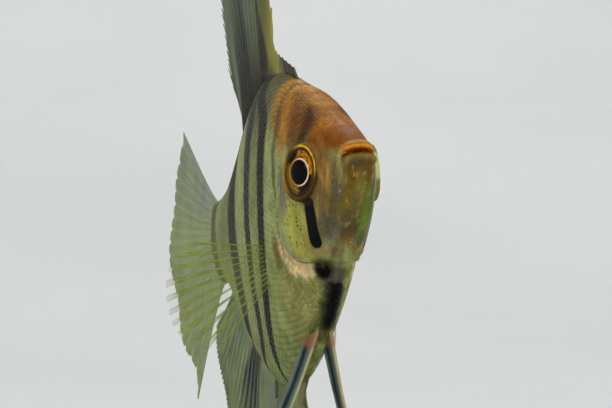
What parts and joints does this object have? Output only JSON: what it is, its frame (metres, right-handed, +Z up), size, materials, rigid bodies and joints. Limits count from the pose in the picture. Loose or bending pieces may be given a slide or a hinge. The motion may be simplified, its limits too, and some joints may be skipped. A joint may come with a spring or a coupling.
{
  "type": "freshwater angelfish display model",
  "caption": "Life-size still model of a striped freshwater angelfish, nose-up and swimming, held by a bent rod over a flat oval base.",
  "frame": {"origin": "centre of the underside of the stand's oval base", "axes": "+X the way the fish faces, +Y the fish's left side, +Z up"},
  "size_m": [0.0869, 0.046, 0.1317],
  "materials": {
    "head_skin": "orange-brown over the brow, yellow-green on the cheek, satin wet sheen",
    "body_skin": "pale silvery olive with upright black bars and fine scales, satin wet sheen",
    "gill_skin": "yellow-green with dark speckles and a pale lilac rear edge",
    "eye": "black pupil in a gold iris under a clear glossy cornea",
    "fin": "thin olive-grey membrane with fine rays and dark bands",
    "clear_fin": "thin, nearly clear yellow-green membrane with fine rays",
    "pelvic_fin": "silvery blue-white with a dark rear edge",
    "base": "dark stained hardwood under a satin lacquer",
    "rod": "drawn steel wire"
  },
  "bodies": {
    "root": {"head": "head_skin", "lower_jaw": "head_skin", "eye_left": "eye", "eye_right": "eye", "gill_cover_left": "gill_skin", "gill_cover_right": "gill_skin", "trunk": "body_skin", "tail_stalk": "body_skin", "dorsal_fin": "fin", "anal_fin": "fin", "tail_fin": "clear_fin", "pectoral_fin_left": "clear_fin", "pectoral_fin_right": "clear_fin", "pelvic_fin_left": "pelvic_fin", "pelvic_fin_right": "pelvic_fin", "stand_base": "base", "stand_rod": "rod"}
  },
  "joints": []
}
